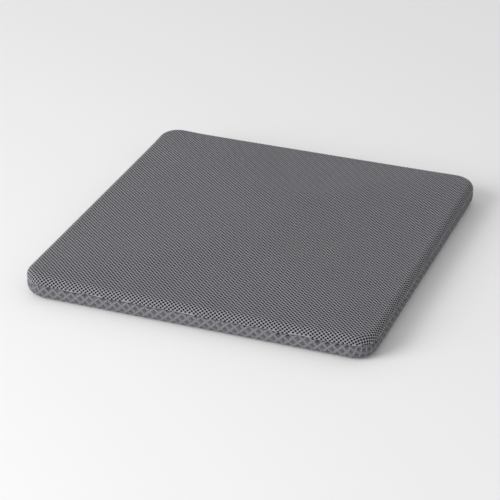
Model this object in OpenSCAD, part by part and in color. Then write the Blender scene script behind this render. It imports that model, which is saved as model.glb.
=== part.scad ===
// Square kneeling and seat pad: a foam slab in a two-panel sewn cover.
// The upper panel is spacer mesh and the lower panel is a fabric with a raised
// grip lattice. The panels meet in a seam at mid-height, and a zip opens the
// rear stretch of that seam so that the foam can be taken out.
// Millimetres, +Z up. The pad rests on z = 0, the origin is the centre of its
// underside, the zip is on the +Y side, and the side facing -Y is the front.

/* [Pad] */
// Width of the pad, side to side
pad_w = 380; // [360:1:420]
// Depth of the pad, front to rear
pad_d = 389; // [360:1:430]
// Height of the pad above the ground
pad_h = 33; // [33:1:45]
// Radius of the pad's corners, seen from above
corner_r = 25; // [22:1:40]
// Radius of the edge round the top
top_r = 7; // [6:0.5:8]
// Radius of the edge round the underside
bottom_r = 9.5; // [9:0.5:10]

/* [Cover] */
// Thickness of the spacer mesh
mesh_t = 3; // [2.5:0.1:3]
// Thickness of the ground fabric of the grip panel
ground_t = 1.2; // [1:0.1:1.2]
// Height of the raised grip lattice
lattice_t = 0.7; // [0.5:0.1:0.7]
// Height of the seam above the ground
seam_z = 17.8; // [17.5:0.1:18]
// Width of the seam allowance that is turned inside
allowance = 6; // [4:0.5:6]

/* [Filling] */
// Thickness of the lining fabric
lining_t = 0.4; // [0.3:0.1:0.5]
// Thickness of the wadding over the foam
wadding_t = 4; // [3:0.5:5]

/* [Zip] */
// Straight seam left between the zip and each corner's curve
zip_inset = 10; // [8:1:60]
// Height of the opening between the two folded edges
window_h = 7.8; // [7.8:0.1:8.2]
// Width of each tape
tape_w = 6.4; // [5.5:0.1:6.4]
// Length of the slider's pull
pull_l = 24; // [16:1:30]

/* [Label] */
// Width of the sewn-in care label
label_w = 30; // [20:1:40]
// Length of the care label below the seam
label_l = 14; // [10:0.5:14]

/* [Hidden] */
$fn = 48;

// Colours
mesh_grey = [0.40, 0.40, 0.42];
lattice_grey = [0.52, 0.52, 0.54];
ground_grey = [0.36, 0.36, 0.38];
thread_grey = [0.33, 0.33, 0.35];
zip_grey = [0.25, 0.25, 0.27];
metal_grey = [0.45, 0.45, 0.47];

// Half of the slit between the panels at the seam, which the label enters
seam_slit = 0.15;
// Room between one layer and the next
layer_gap = 0.05;
// Depths below the outer surface, from the outside in
ground_in = lattice_t + ground_t;
lining_side = mesh_t + 0.8;
lining_low = ground_in + 0.1;
lining_high = mesh_t + 0.1;
// Extra room behind the rear side, where the slider's back plate runs
rear_room = 1.4;
// Height at which the two halves of the lining overlap
lining_seam_z = seam_z + 4;

// Zip, measured as depths below the rear face
zip_y = pad_d / 2;
zip_l = pad_w - 2 * corner_r - 2 * zip_inset;
tape_out = mesh_t + 0.1;
tape_t = 0.6;
tape_in = tape_out + tape_t;
tape_split = 1.2;
tape_end = 5;
fold_w = 3;
fold_gap = 0.3;
coil_t = 2.0;
coil_w = 1.8;
coil_split = 1.0;
coil_out = tape_out - coil_t;
stop_l = 2;
// Distance from each end of the opening to the coil's end
coil_end = 5;
coil_l = zip_l - 2 * coil_end;

// Slider
slider_l = 9;
slider_w = window_h - 0.6;
slider_run = 0.3;
plate_t = 1.2;
back_plate_t = 0.8;
flange_w = 0.9;
web_t = 0.4;
web_l = 3;
slider_x = coil_l / 2 - stop_l - slider_l / 2 - 0.5;
plate_in = coil_out - slider_run;
plate_out = plate_in - plate_t;

// Bridge and pull
pin_r = 0.6;
eye_bore_r = 0.68;
eye_r = 1.3;
eye_w = 3.6;
lug_t = 0.8;
lug_gap = 4.2;
pin_out = plate_out - eye_r - 0.5;
pull_t = 1.2;
pull_w = 5.6;
pull_neck_w = 3.2;

// Stitches
thread_r = 0.3;
stitch_pitch = 4;
stitch_l = 2.8;
stitch_z = window_h / 2 + 1.8;
tack_w = 2.5;
tack_t = 0.5;

// Label
label_t = 0.35;
label_y = 120;

// Quarter of a disc, for the rounded edges of a section.
module quarter_round(r, up) {
    intersection() {
        circle(r);
        translate([0, up ? 0 : -r]) square(r);
    }
}

// Half of the pad's section, from a corner's centre line out to the edge,
// for a pad shrunk by these depths at its sides, underside and top.
module half_section(side, low, high) {
    r = corner_r - side;
    rb = bottom_r - side;
    rt = top_r - side;
    z0 = low;
    z1 = pad_h - high;
    translate([0, z0]) square([r - rb, rb]);
    translate([r - rb, z0 + rb]) quarter_round(rb, false);
    translate([0, z0 + rb]) square([r, z1 - rt - z0 - rb]);
    translate([0, z1 - rt]) square([r - rt, rt]);
    translate([r - rt, z1 - rt]) quarter_round(rt, true);
}

// The pad's solid shape, shrunk by these depths. rear is extra room taken off
// the +Y side.
module slab(side, low, high, rear = 0) {
    r = corner_r - side;
    half_w = pad_w / 2 - corner_r;
    half_d = (pad_d - rear) / 2 - corner_r;
    translate([0, -rear / 2, 0]) {
        translate([-half_w, -half_d, low])
            cube([2 * half_w, 2 * half_d, pad_h - high - low]);
        for (side_of = [0:3]) {
            turned = side_of % 2 == 1;
            run = turned ? 2 * half_d : 2 * half_w;
            out = turned ? half_w : half_d;
            // a straight side
            rotate([0, 0, side_of * 90 - 90])
                translate([out, run / 2, 0])
                    rotate([90, 0, 0])
                        linear_extrude(run) half_section(side, low, high);
            // the corner that ends it
            translate([
                (side_of == 0 || side_of == 3 ? 1 : -1) * half_w,
                (side_of < 2 ? 1 : -1) * half_d,
                0
            ])
                rotate([0, 0, side_of * 90])
                    rotate_extrude(angle = 90) half_section(side, low, high);
        }
    }
}

// A slab wide enough to cut the pad, between two heights.
module layer(z_low, z_high) {
    translate([-pad_w, -pad_d, z_low])
        cube([2 * pad_w, 2 * pad_d, z_high - z_low]);
}

// A box on the rear side: centred on x, from one depth to another, and between
// two heights measured from the seam.
module rear_box(x, length, depth_out, depth_in, low, high) {
    translate([x - length / 2, zip_y - depth_in, seam_z + low])
        cube([length, depth_in - depth_out, high - low]);
}

// The opening that the zip closes.
module zip_window() {
    rear_box(0, zip_l, -1, mesh_t + 1, -window_h / 2, window_h / 2);
}

module mesh_top() {
    tucked = ground_in + layer_gap;
    color(mesh_grey)
        difference() {
            union() {
                difference() {
                    slab(0, 0, 0);
                    layer(-1, seam_z + seam_slit);
                }
                // the allowance, turned inside along the grip panel
                difference() {
                    slab(tucked, tucked, tucked);
                    layer(-1, seam_z - allowance);
                    layer(seam_z + 1, pad_h + 1);
                }
            }
            slab(mesh_t, mesh_t, mesh_t);
            rear_box(0, zip_l, -1, mesh_t + 1, -allowance - 1, window_h / 2);
        }
}

module grip_base() {
    color(ground_grey) {
        difference() {
            slab(lattice_t, lattice_t, lattice_t);
            slab(ground_in, ground_in, ground_in);
            layer(seam_z - seam_slit, pad_h + 1);
            zip_window();
        }
        // the edge folded back in front of the zip's lower tape
        rear_box(0, zip_l - 2 * fold_gap, ground_in, mesh_t + layer_gap,
            -window_h / 2 - fold_w, -window_h / 2);
    }
}

module grip_lattice() {
    color(lattice_grey)
        difference() {
            slab(0, 0, 0);
            slab(lattice_t, lattice_t, lattice_t);
            layer(seam_z - seam_slit, pad_h + 1);
            zip_window();
        }
}

// The lockstitch that joins the panels, along the inside of the allowance.
module seam_thread() {
    depth = mesh_t + 0.35;
    half_w = pad_w / 2 - corner_r;
    half_d = pad_d / 2 - corner_r;
    r = corner_r - depth;
    z = seam_z - 1.5;
    short_run = half_w - zip_l / 2 - tape_end - 0.5;
    color(thread_grey)
        translate([0, 0, z]) {
            for (side_of = [0:3])
                translate([
                    (side_of == 0 || side_of == 3 ? 1 : -1) * half_w,
                    (side_of < 2 ? 1 : -1) * half_d,
                    0
                ])
                    rotate([0, 0, side_of * 90])
                        rotate_extrude(angle = 90)
                            translate([r, 0]) circle(thread_r, $fn = 16);
            for (x = [-1, 1])
                translate([x * (half_w + r), half_d, 0])
                    rotate([90, 0, 0])
                        cylinder(r = thread_r, h = 2 * half_d, $fn = 16);
            translate([-half_w, -half_d - r, 0])
                rotate([0, 90, 0])
                    cylinder(r = thread_r, h = 2 * half_w, $fn = 16);
            // the rear seam is sewn only from the corners to the zip's tapes
            for (x = [-half_w, half_w - short_run])
                translate([x, half_d + r, 0])
                    rotate([0, 90, 0])
                        cylinder(r = thread_r, h = short_run, $fn = 16);
        }
}

// The lining's shell, before it is cut into its two halves.
module lining_shell() {
    difference() {
        slab(lining_side, lining_low, lining_high, rear_room);
        slab(lining_side + lining_t, lining_low + lining_t,
            lining_high + lining_t, rear_room);
    }
}

module lining_top() {
    color("whitesmoke")
        difference() {
            lining_shell();
            layer(-1, lining_seam_z);
        }
}

module lining_base() {
    color("whitesmoke")
        difference() {
            lining_shell();
            layer(lining_seam_z - layer_gap, pad_h + 1);
        }
}

// Everything inside the lining.
module filling() {
    gap = lining_t + layer_gap;
    slab(lining_side + gap, lining_low + gap, lining_high + gap, rear_room);
}

filling_top = pad_h - lining_high - lining_t - layer_gap;

module wadding() {
    color("white")
        difference() {
            filling();
            layer(-1, filling_top - wadding_t);
        }
}

module foam_core() {
    color("khaki")
        difference() {
            filling();
            layer(filling_top - wadding_t - layer_gap, pad_h + 1);
        }
}

// One tape, with side = 1 above the zip's centre line and -1 below it.
module zip_tape(side) {
    low = side > 0 ? tape_split / 2 : -tape_split / 2 - tape_w;
    color(zip_grey)
        rear_box(0, zip_l + 2 * tape_end, tape_out, tape_in, low, low + tape_w);
}

// One row of the nylon coil, as the outer shape of its turns.
module zip_coil(side) {
    r = 0.6;
    color(zip_grey)
        translate([-coil_l / 2 + stop_l, zip_y - coil_out - coil_t / 2,
                seam_z + side * (coil_split + coil_w) / 2])
            rotate([90, 0, 90])
                linear_extrude(coil_l - 2 * stop_l) {
                    square([coil_t - 2 * r, coil_w], center = true);
                    square([coil_t, coil_w - 2 * r], center = true);
                    for (y = [-1, 1], z = [-1, 1])
                        translate([y * (coil_t / 2 - r), z * (coil_w / 2 - r)])
                            circle(r);
                }
}

// The two crimped stops where the slider rests when the zip is shut.
module zip_top_stops() {
    color(metal_grey)
        for (low = [coil_split / 2, -coil_split / 2 - coil_w])
            rear_box(coil_l / 2 - stop_l / 2, stop_l, coil_out, tape_out,
                low, low + coil_w);
}

// The stop that joins both coils where the zip ends.
module zip_bottom_stop() {
    half = coil_split / 2 + coil_w;
    color(metal_grey)
        rear_box(-coil_l / 2 + stop_l / 2, stop_l, coil_out, tape_out,
            -half, half);
}

// Outline of a slider plate: broad where the coils part, narrow behind.
module slider_outline() {
    nose = slider_l / 2;
    polygon([
        [-nose, -slider_w / 2 + 0.8],
        [-nose + 1.2, -slider_w / 2],
        [nose - 1, -slider_w / 2],
        [nose, -slider_w / 2 + 1],
        [nose, slider_w / 2 - 1],
        [nose - 1, slider_w / 2],
        [-nose + 1.2, slider_w / 2],
        [-nose, slider_w / 2 - 0.8]
    ]);
}

// A plate of the slider between two depths.
module slider_plate(depth_out, depth_in) {
    translate([slider_x, zip_y - depth_out, seam_z])
        rotate([90, 0, 0])
            linear_extrude(depth_in - depth_out) slider_outline();
}

module zip_slider() {
    back_out = tape_in + slider_run;
    color(metal_grey) {
        slider_plate(plate_out, plate_in);
        slider_plate(back_out, back_out + back_plate_t);
        // flanges that keep the coils in the channel
        for (low = [-slider_w / 2, slider_w / 2 - flange_w])
            rear_box(slider_x, slider_l - 2.4, plate_in, tape_out - slider_run,
                low, low + flange_w);
        // the web between the coils, which joins the two plates
        rear_box(slider_x + slider_l / 2 - web_l / 2, web_l,
            plate_in, back_out, -web_t / 2, web_t / 2);
    }
}

// Two lugs and the pin that the pull turns on.
module zip_bridge() {
    color(metal_grey)
        translate([slider_x, zip_y - pin_out, seam_z]) {
            translate([0, 0, -lug_gap / 2 - lug_t])
                cylinder(r = pin_r, h = lug_gap + 2 * lug_t);
            for (low = [-lug_gap / 2 - lug_t, lug_gap / 2])
                translate([0, 0, low])
                    linear_extrude(lug_t) {
                        circle(eye_r);
                        translate([-eye_r, pin_out - plate_out])
                            square([2 * eye_r, plate_out - pin_out]);
                    }
        }
}

module zip_pull() {
    end_r = pull_w / 2;
    color(metal_grey)
        translate([slider_x, zip_y - pin_out, seam_z])
            difference() {
                union() {
                    translate([0, 0, -eye_w / 2]) cylinder(r = eye_r, h = eye_w);
                    translate([-5, -pull_t / 2, -pull_neck_w / 2])
                        cube([5, pull_t, pull_neck_w]);
                    translate([0, pull_t / 2, 0])
                        rotate([90, 0, 0])
                            linear_extrude(pull_t) {
                                translate([-pull_l + end_r, 0]) circle(end_r);
                                translate([-pull_l + end_r, -end_r])
                                    square([pull_l - end_r - 4, pull_w]);
                            }
                }
                translate([0, 0, -eye_w]) cylinder(r = eye_bore_r, h = 2 * eye_w);
            }
}

// A row of stitches on the rear face, above or below the zip.
module zip_stitches(side) {
    count = floor(zip_l / stitch_pitch);
    color(thread_grey)
        for (i = [0:count - 1])
            translate([
                (i - (count - 1) / 2) * stitch_pitch - stitch_l / 2,
                zip_y + thread_r,
                seam_z + side * stitch_z
            ])
                rotate([0, 90, 0]) cylinder(r = thread_r, h = stitch_l, $fn = 16);
}

// The dense stitches that lock the seam at both ends of the zip.
module bar_tacks() {
    color(thread_grey)
        for (x = [-1, 1])
            rear_box(x * (zip_l / 2 + tack_w / 2 + 0.4), tack_w, -tack_t, 0,
                -window_h / 2 - 1, window_h / 2 + 1);
}

// The label hangs from the seam on the left side, near the rear corner.
module care_label() {
    face = -pad_w / 2;
    color("white")
        translate([0, label_y - label_w / 2, seam_z]) {
            translate([face - label_t - 0.15, 0, -label_l])
                cube([label_t, label_w, label_l + 0.1]);
            translate([face - label_t - 0.15, 0, -0.1])
                cube([ground_in + label_t + 0.1, label_w, 0.2]);
        }
}

mesh_top();
grip_base();
grip_lattice();
seam_thread();
lining_top();
lining_base();
wadding();
foam_core();
zip_tape(1);  // zip_tape_upper
zip_tape(-1);  // zip_tape_lower
zip_coil(1);  // zip_coil_upper
zip_coil(-1);  // zip_coil_lower
zip_top_stops();
zip_bottom_stop();
zip_slider();
zip_bridge();
zip_pull();
zip_stitches(1);  // zip_stitch_upper
zip_stitches(-1);  // zip_stitch_lower
bar_tacks();
care_label();
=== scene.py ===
"""Looks of a square kneeling pad: a foam slab in a zipped cover of spacer mesh and grip fabric.

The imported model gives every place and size. Its soft nodes are replaced by detailed pieces. Each cover panel
is laid out as a flat sheet and wrapped over the pad's edge, and a short cloth simulation gives the form its
crown and the small swells along its edges. Metres, +Z up. The zip is on the +Y side.
"""
import logging
import math
from dataclasses import dataclass, field
from enum import Enum

import bpy
import numpy as np
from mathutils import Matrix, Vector
from mathutils.bvhtree import BVHTree


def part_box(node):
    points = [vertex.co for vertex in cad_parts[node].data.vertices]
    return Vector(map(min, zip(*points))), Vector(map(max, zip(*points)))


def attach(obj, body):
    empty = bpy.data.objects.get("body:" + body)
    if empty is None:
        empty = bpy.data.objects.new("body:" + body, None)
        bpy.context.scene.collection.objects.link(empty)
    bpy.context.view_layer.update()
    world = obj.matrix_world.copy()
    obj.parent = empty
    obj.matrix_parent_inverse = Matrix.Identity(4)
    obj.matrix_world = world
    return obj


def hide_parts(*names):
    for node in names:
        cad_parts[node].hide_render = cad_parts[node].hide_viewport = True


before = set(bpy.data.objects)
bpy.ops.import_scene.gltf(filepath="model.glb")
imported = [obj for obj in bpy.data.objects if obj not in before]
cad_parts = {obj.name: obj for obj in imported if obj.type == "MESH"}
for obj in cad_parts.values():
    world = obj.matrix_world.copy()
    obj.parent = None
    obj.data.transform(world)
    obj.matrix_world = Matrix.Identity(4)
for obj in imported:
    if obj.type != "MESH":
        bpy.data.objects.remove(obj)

logging.basicConfig(level=logging.INFO, format="%(message)s")
log = logging.getLogger("pad")

MM = 0.001
PAD_BODY = "pad"
SHEET_UV = "sheet"
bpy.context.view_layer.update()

# Radius of a strand's cut tips, as a share of its own
STRAND_TIP = 0.55

# Rings of the hidden inner faces, as shares of the way out from the middle
INNER_SHARES = (0.9, 0.75, 0.5, 0.2)


class Side(Enum):
    """A face of the pad that a sheet covers."""

    TOP = 1
    UNDERSIDE = -1


# ---------------------------------------------------------------- sheets and their wrap


@dataclass(frozen=True)
class SeamLine:
    """The seam between the two panels, with the zip's opening in it.

    Attributes:
        height: Height of the seam above the ground.
        rear: The rear side's y.
        zip_half: Half of the opening's length.
        window: Half of the opening's height.
        ramp: Length over which the opening closes at each end.
        slit: Half of the room left between the panels.
        sway: How far the seam wanders up and down.
    """

    height: float
    rear: float
    zip_half: float
    window: float
    ramp: float = 6 * MM
    slit: float = 0.05 * MM
    sway: float = 0.35 * MM

    def opening(self, wall: np.ndarray) -> np.ndarray:
        """Share of the opening's height that stands open.

        Args:
            wall: Points on the pad's outline, seen from above.

        Returns:
            A value from 0 to 1 for each point.
        """
        share = np.clip((self.zip_half - np.abs(wall[:, 0])) / self.ramp, 0, 1)
        share = share * share * (3 - 2 * share)
        return share * (wall[:, 1] > self.rear - 0.5 * MM)

    def height_at(self, wall: np.ndarray, side: Side) -> np.ndarray:
        """Height at which a panel ends.

        Args:
            wall: Points on the pad's outline, seen from above.
            side: The face that the panel covers.

        Returns:
            A height for each point.
        """
        share = self.opening(wall)
        x, y = wall[:, 0], wall[:, 1]
        sway = np.sin((x + 0.83 * y) / (7.4 * MM) + 0.8) + 0.5 * np.sin((0.71 * x - y) / (4.3 * MM))
        away = self.slit + share * self.window
        return self.height + side.value * away + self.sway * sway * (1 - share)


@dataclass
class Swell:
    """How far the covered form stands off its plain shape, on a grid over each flat sheet.

    Attributes:
        step: Distance between the grid's points.
        count: Points across the grid, from its centre outwards.
        moves: For each side, a grid of offsets.
    """

    step: float = 4 * MM
    count: int = 56
    moves: dict[Side, np.ndarray] = field(default_factory=dict)

    def nodes(self) -> np.ndarray:
        """The grid's points on the flat sheet."""
        line = np.arange(-self.count, self.count + 1) * self.step
        return np.stack(np.meshgrid(line, line, indexing="ij"), axis=-1).reshape(-1, 2)

    def at(self, uv: np.ndarray, side: Side) -> np.ndarray:
        """Offsets of points on a sheet.

        Args:
            uv: Points on the flat sheet.
            side: The face that the sheet covers.

        Returns:
            One offset for each point.
        """
        if side not in self.moves:
            return np.zeros((len(uv), 3))
        grid = self.moves[side]
        place = np.clip(uv / self.step + self.count, 0, 2 * self.count - 1e-6)
        low = np.floor(place).astype(int)
        part = place - low
        i, j = low[:, 0], low[:, 1]
        a, b = part[:, :1], part[:, 1:]
        near = grid[i, j] * (1 - b) + grid[i, j + 1] * b
        far = grid[i + 1, j] * (1 - b) + grid[i + 1, j + 1] * b
        return near * (1 - a) + far * a


@dataclass(frozen=True)
class Wrap:
    """How a flat sheet lies on one face of the pad, wraps over its edge and ends at the seam.

    Attributes:
        side: The face that the sheet covers.
        half: Half of the pad's width and depth.
        corner: Radius of the pad's corners, seen from above.
        edge: Radius of the edge round the face.
        face_z: Height of the face.
        hem: Radius with which the sheet turns in at the seam.
        tuck: Length turned in past the hem.
        seam: The seam that the sheet ends at.
        swell: The form under the sheet.
    """

    side: Side
    half: np.ndarray
    corner: float
    edge: float
    face_z: float
    hem: float
    tuck: float
    seam: SeamLine
    swell: Swell

    def outward(self, uv: np.ndarray) -> tuple[np.ndarray, np.ndarray, np.ndarray]:
        """Where points lie, measured from the outline of the flat face.

        Args:
            uv: Points on the flat sheet.

        Returns:
            The distance past the outline, the direction outwards, and the nearest point of the face.
        """
        inner = self.half - self.corner
        past = np.abs(uv) - inner
        corner = np.maximum(past, 0)
        length = np.hypot(corner[:, 0], corner[:, 1])
        distance = length + np.minimum(past.max(axis=1), 0) - (self.corner - self.edge)
        straight = np.zeros_like(uv)
        straight[np.arange(len(uv)), past.argmax(axis=1)] = 1
        round_way = corner / np.maximum(length, 1e-9)[:, None]
        way = np.where((length > 1e-9)[:, None], round_way, straight) * np.where(uv < 0, -1, 1)
        distance = np.maximum(distance, 0)
        return distance, way, uv - way * distance[:, None]

    def lengths(self, way: np.ndarray, face: np.ndarray) -> tuple[np.ndarray, np.ndarray]:
        """Lengths of the sheet's rounded and straight stretches over the side.

        Where the side is too low for a whole quarter turn, the rounded stretch ends early.
        """
        wall = face + way * self.edge
        spare = np.abs(self.face_z - self.seam.height_at(wall, self.side)) - self.edge - self.hem
        turn = np.arccos(np.clip(-spare / (self.edge - self.hem), 0, 1))
        return self.edge * turn, np.maximum(spare, 0)

    def reach(self, uv: np.ndarray) -> tuple[np.ndarray, np.ndarray]:
        """Distance past the flat face, and where on that scale the hem begins."""
        distance, way, face = self.outward(uv)
        arc, drop = self.lengths(way, face)
        return distance, arc + drop

    def clamp(self, uv: np.ndarray) -> tuple[np.ndarray, np.ndarray]:
        """Points cut back to the sheet's edge, and which of them were."""
        distance, way, face = self.outward(uv)
        arc, drop = self.lengths(way, face)
        most = arc + drop + self.hem * (math.pi - arc / self.edge) + self.tuck
        return face + way * np.minimum(distance, most)[:, None], distance >= most - 1e-9

    def place(self, uv: np.ndarray, depth: np.ndarray) -> np.ndarray:
        """Wraps points of the sheet round the pad.

        Args:
            uv: Points on the flat sheet.
            depth: How deep each lies under the sheet's outer face.

        Returns:
            Points in the pad's frame.
        """
        distance, way, face = self.outward(uv)
        arc, drop = self.lengths(way, face)
        turn = np.clip(distance / self.edge, 0, arc / self.edge)
        down = np.clip(distance - arc, 0, drop)
        most = math.pi - arc / self.edge
        curl = np.clip((distance - arc - drop) / self.hem, 0, most)
        tucked = np.maximum(distance - arc - drop - self.hem * most, 0)
        angle = turn + curl
        out = self.edge * np.sin(turn) + self.hem * (np.sin(angle) - np.sin(turn)) - tucked
        fall = self.edge * (1 - np.cos(turn)) + down + self.hem * (np.cos(turn) - np.cos(angle))
        out = out - depth * np.sin(angle)
        fall = fall + depth * np.cos(angle)
        points = np.empty((len(uv), 3))
        points[:, :2] = face + way * out[:, None]
        points[:, 2] = self.face_z - self.side.value * fall
        return points + self.swell.at(uv, self.side)

    def on_rear(self, x: np.ndarray, height: np.ndarray, depth: np.ndarray) -> np.ndarray:
        """Places points on the sheet's rear side.

        Args:
            x: Where they lie along the side.
            height: Their heights.
            depth: How deep each lies under the sheet's outer face.

        Returns:
            Points in the pad's frame.
        """
        plain = np.array(height, dtype=float)
        for _ in range(5):
            fall = np.abs(self.face_z - plain)
            round_part = self.edge * np.arccos(np.clip(1 - fall / self.edge, -1, 1))
            distance = np.where(fall < self.edge, round_part, self.edge * (math.pi / 2 - 1) + fall)
            uv = np.stack([x, self.half[1] - self.edge + distance], axis=1)
            plain = plain + height - self.place(uv, 0 * x)[:, 2]
        return self.place(uv, depth)


@dataclass(frozen=True)
class Lattice:
    """A staggered lattice of cells on a flat sheet, with its lines along both diagonals.

    Attributes:
        across: Distance between cells of a row.
        along: Distance between every other row.
        turn: Angle of the rows to the pad's width, in degrees.
    """

    across: float
    along: float
    turn: float = 0.0

    def basis(self) -> np.ndarray:
        """The two diagonals of a cell, one in each row."""
        c, s = math.cos(math.radians(self.turn)), math.sin(math.radians(self.turn))
        flat = np.array([[self.across, self.along], [self.across, -self.along]]) / 2
        return flat @ np.array([[c, s], [-s, c]])

    def spots(self, steps: np.ndarray) -> np.ndarray:
        """Places of points that are given in steps along the diagonals."""
        return steps @ self.basis()

    def cells(self, wrap: Wrap) -> np.ndarray:
        """Cells that lie at least partly on a sheet.

        Args:
            wrap: The sheet's wrap.

        Returns:
            The steps along both diagonals to the centre of each cell.
        """
        far = float(np.hypot(*wrap.half)) * 1.3
        count = int(far / np.linalg.norm(self.basis()[0])) + 1
        line = np.arange(-count, count + 1)
        steps = np.stack(np.meshgrid(line, line, indexing="ij"), axis=-1).reshape(-1, 2)
        corners = steps[:, None, :] + CELL_CORNERS[None]
        cut = wrap.clamp(self.spots(corners.reshape(-1, 2)))[1].reshape(-1, len(CELL_CORNERS))
        return steps[~cut.all(axis=1)]


CELL_CORNERS = np.array([[0.5, 0.5], [-0.5, 0.5], [-0.5, -0.5], [0.5, -0.5]])
CELL_RIM = np.array([[0.5, 0], [0.5, 0.5], [0, 0.5], [-0.5, 0.5],
                     [-0.5, 0], [-0.5, -0.5], [0, -0.5], [0.5, -0.5]])


@dataclass(frozen=True)
class CellShape:
    """The shape of one lattice cell: rings of eight points from its rim inwards, and a floor.

    Attributes:
        rings: For each ring past the rim, its eight points in steps from the cell's centre.
        depths: Depth of each ring under the sheet's face.
        inside: The ring from which the cell takes its second material, a darker colour painted as the shade in
            its pit.
    """

    rings: tuple[np.ndarray, ...]
    depths: tuple[float, ...]
    inside: int


def octagon(long: float, short: float) -> np.ndarray:
    """Eight points of a rounded cell, in steps: long towards its lines, short towards its corners."""
    return CELL_RIM * 2 * np.where(np.abs(CELL_RIM).sum(axis=1) > 0.6, short, long)[:, None]


@dataclass
class Shape:
    """Points and faces that are gathered for one piece.

    Attributes:
        points: Places, in the pad's frame.
        flat: The same points on the flat sheet.
        faces: Arrays of corners, each with its material's index.
    """

    points: np.ndarray
    flat: np.ndarray
    faces: list[tuple[np.ndarray, int]]

    def build(self, name: str, finishes: list[bpy.types.Material]) -> bpy.types.Object:
        """Makes the piece.

        Args:
            name: The piece's name.
            finishes: Its materials.

        Returns:
            The piece, linked to the scene.
        """
        mesh = bpy.data.meshes.new(name)
        corners = np.concatenate([f.reshape(-1) for f, _ in self.faces]).astype(np.int32)
        sizes = np.concatenate([np.full(len(f), f.shape[1]) for f, _ in self.faces])
        slots = np.concatenate([np.full(len(f), m) for f, m in self.faces]).astype(np.int32)
        mesh.vertices.add(len(self.points))
        mesh.loops.add(len(corners))
        mesh.polygons.add(len(sizes))
        mesh.vertices.foreach_set("co", self.points.astype(np.float32).reshape(-1))
        mesh.loops.foreach_set("vertex_index", corners)
        starts = np.concatenate([[0], np.cumsum(sizes)[:-1]]).astype(np.int32)
        mesh.polygons.foreach_set("loop_start", starts)
        mesh.polygons.foreach_set("material_index", slots)
        mesh.polygons.foreach_set("use_smooth", np.ones(len(sizes), bool))
        layer = mesh.uv_layers.new(name=SHEET_UV)
        layer.uv.foreach_set("vector", self.flat[corners].astype(np.float32).reshape(-1))
        for finish in finishes:
            mesh.materials.append(finish)
        mesh.update(calc_edges=True)
        mesh.validate()
        piece = bpy.data.objects.new(name, mesh)
        bpy.context.scene.collection.objects.link(piece)
        return piece


def open_loop(faces: list[tuple[np.ndarray, int]]) -> np.ndarray:
    """The longest open edge of a surface, as a ring of points in the order of its faces' edges.

    Args:
        faces: The surface's faces.

    Returns:
        Indices of the ring's points.
    """
    edges = np.concatenate([np.stack([f, np.roll(f, -1, axis=1)], axis=-1).reshape(-1, 2) for f, _ in faces])
    key = np.sort(edges, axis=1)
    _, first, uses = np.unique(key, axis=0, return_index=True, return_counts=True)
    onward = dict(edges[first[uses == 1]].tolist())
    rings = []
    while onward:
        start, point = onward.popitem()
        ring = [start]
        while point in onward:
            ring.append(point)
            point = onward.pop(point)
        rings.append(ring)
    return np.array(max(rings, key=len))


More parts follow.
